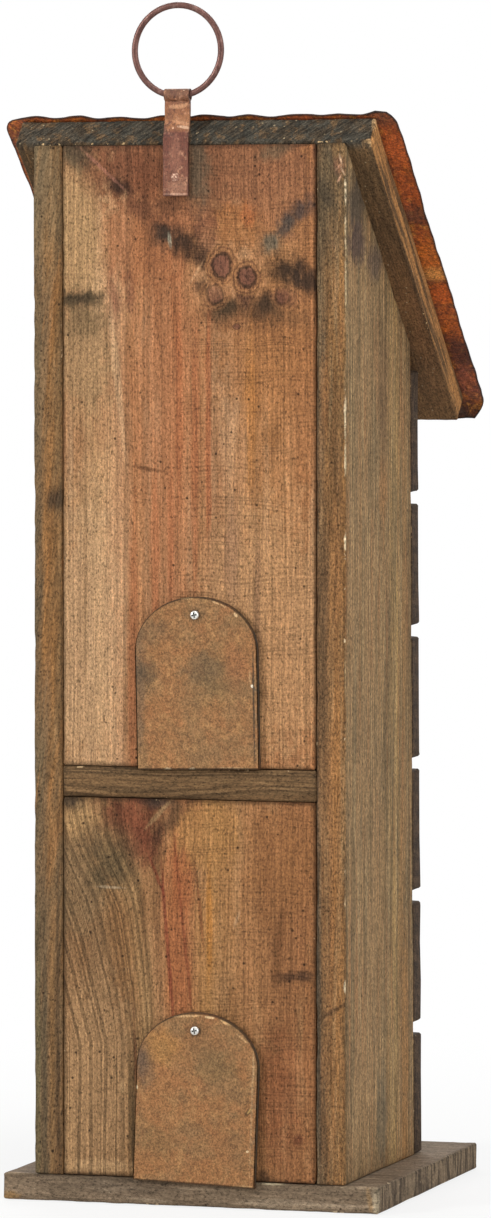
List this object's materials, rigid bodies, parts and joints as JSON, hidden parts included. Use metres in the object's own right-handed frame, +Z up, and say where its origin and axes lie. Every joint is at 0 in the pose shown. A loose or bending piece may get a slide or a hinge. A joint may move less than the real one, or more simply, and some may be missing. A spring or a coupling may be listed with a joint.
{
  "type": "decorative birdhouse",
  "caption": "Tall two-storey wooden birdhouse with a sloping rusty sheet roof, plank front, swinging clean-out covers at the back and a hanging ring.",
  "frame": {"origin": "centre of the base board's underside", "axes": "+Z up, +Y out of the back that carries the clean-out covers, -Y out of the plank front"},
  "size_m": [0.1902, 0.1764, 0.5548],
  "materials": {
    "stained_pine_back": "brown stain worn thin, knots and red grain showing",
    "weathered_side_board": "grey-olive weathered pine",
    "shelf_board": "brown stain, raised grain",
    "roof_board_wood": "dark brown stain, rough sawn",
    "front_plank_wood": "dark brown stain, weathered",
    "base_board_wood": "grey-brown stain, rough sawn",
    "cover_board": "matt brown stain over thin board, edges chipped pale",
    "rusted_sheet": "orange rust over hammered sheet",
    "ring_wire": "dull brown-red patina",
    "strap_metal": "copper-brown patina, rubbed",
    "zinc_screw": "bright zinc plate",
    "dark_nail": "dull, tarnished"
  },
  "bodies": {
    "house": {"base_board": "base_board_wood", "side_panel_left": "weathered_side_board", "side_panel_right": "weathered_side_board", "back_panel_upper": "stained_pine_back", "back_panel_lower": "stained_pine_back", "divider_shelf": "shelf_board", "roof_board": "roof_board_wood", "roof_sheet": "rusted_sheet", "hanging_strap": "strap_metal", "strap_nail": "dark_nail", "cleanout_screw_upper": "zinc_screw", "cleanout_screw_lower": "zinc_screw", "front_brads": "dark_nail", "base_brads": "dark_nail", "roof_tacks": "dark_nail", "front_plank_1": "front_plank_wood", "front_plank_2": "front_plank_wood", "front_plank_3": "front_plank_wood", "front_plank_4": "front_plank_wood", "front_plank_5": "front_plank_wood", "front_plank_6": "front_plank_wood"},
    "ring": {"hanging_ring": "ring_wire"},
    "cover_upper": {"cleanout_cover_upper": "cover_board"},
    "cover_lower": {"cleanout_cover_lower": "cover_board"}
  },
  "joints": [
    {"name": "ring_swing", "type": "hinge", "parent": "house", "child": "ring", "pos_m": [0.0057, 0.08375, 0.5122], "axis": [1, 0, 0], "range_deg": [-170, 129]},
    {"name": "cover_upper_swing", "type": "hinge", "parent": "house", "child": "cover_upper", "pos_m": [-0.0041, 0.08755, 0.2737], "axis": [0, 1, 0], "continuous": true},
    {"name": "cover_lower_swing", "type": "hinge", "parent": "house", "child": "cover_lower", "pos_m": [-0.0041, 0.08755, 0.0821], "axis": [0, 1, 0], "continuous": true}
  ]
}
